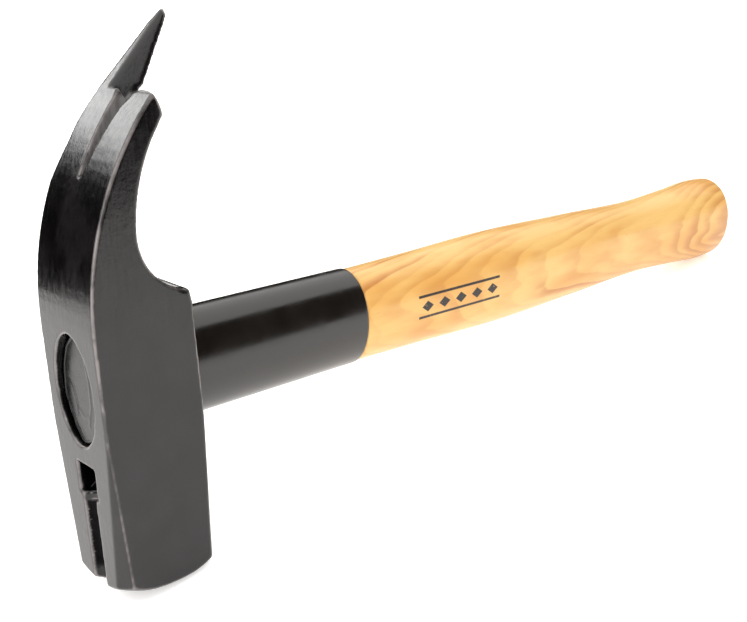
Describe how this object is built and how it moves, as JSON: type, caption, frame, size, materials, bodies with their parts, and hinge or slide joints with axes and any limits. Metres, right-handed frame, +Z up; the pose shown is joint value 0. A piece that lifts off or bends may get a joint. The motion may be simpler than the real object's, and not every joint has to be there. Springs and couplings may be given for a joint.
{
  "type": "carpenter's roofing hammer",
  "caption": "Carpenter's roofing hammer: forged black head with a round-faced poll, nail starter and pointed claw, a steel shaft sleeve and an oval hardwood handle.",
  "frame": {"origin": "on the floor under the middle of the laid-down hammer's box", "axes": "+X from the head to the butt of the handle, +Y across the head towards the pointed tine's side, +Z up from the floor through the poll, the head and the claw"},
  "size_m": [0.3238, 0.0294, 0.1554],
  "materials": {
    "head_lacquer": "satin black lacquer on forged steel",
    "sleeve_lacquer": "satin-gloss black lacquer on steel tube",
    "handle_wood": "clear-varnished hickory",
    "seal_resin": "dark wrinkled lacquer",
    "magnet_steel": "bright plated",
    "wedge_steel": "bare steel",
    "wedge_wood": "bare beech"
  },
  "bodies": {
    "root": {"hammer_head": "head_lacquer", "handle": "handle_wood", "shaft_sleeve": "sleeve_lacquer", "eye_seal": "seal_resin", "nail_magnet": "magnet_steel", "ring_wedge": "wedge_steel", "eye_wedge": "wedge_wood"}
  },
  "joints": []
}
